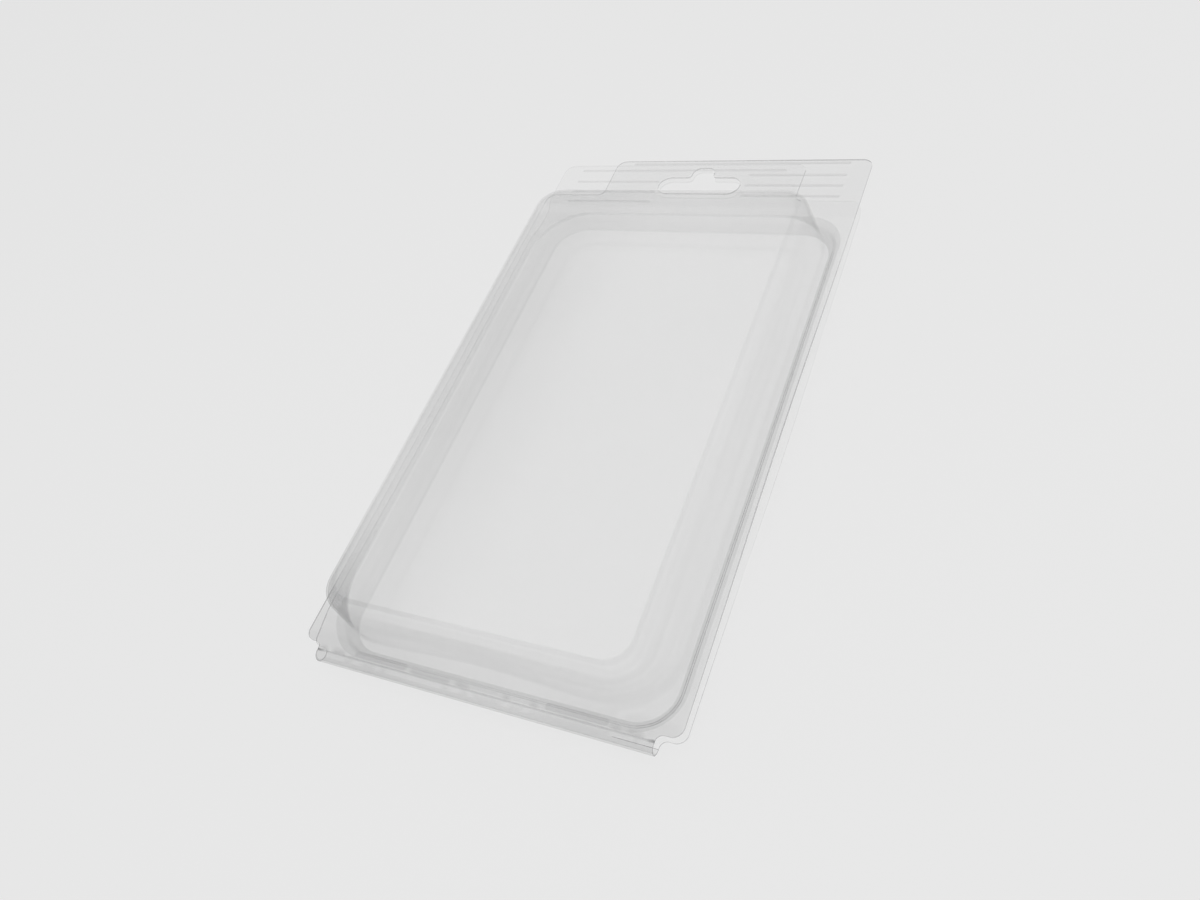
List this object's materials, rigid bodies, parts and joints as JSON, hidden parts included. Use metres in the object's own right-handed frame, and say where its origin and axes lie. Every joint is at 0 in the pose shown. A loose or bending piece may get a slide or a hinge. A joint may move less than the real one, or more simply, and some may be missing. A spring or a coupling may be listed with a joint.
{
  "type": "plastic clamshell pack",
  "caption": "Clear formed clamshell pack: a deep front blister folds over a shallow back tray on a round hinge fold, with ribbed hang tabs and a humped hang slot.",
  "frame": {"origin": "centre of the pack's outline on the plane that the back tray rests on", "axes": "+X across the pack, +Y from the hinge towards the hang tab, +Z out of the front face"},
  "size_m": [0.122, 0.2178, 0.0267],
  "materials": {
    "clear_sheet": "clear gloss"
  },
  "bodies": {
    "back": {"back_shell": "clear_sheet"},
    "front": {"front_shell": "clear_sheet"}
  },
  "joints": [
    {"name": "lid_hinge", "type": "hinge", "parent": "back", "child": "front", "pos_m": [0, -0.10899, 0.00725], "axis": [1, 0, 0], "range_deg": [0, 180]}
  ]
}
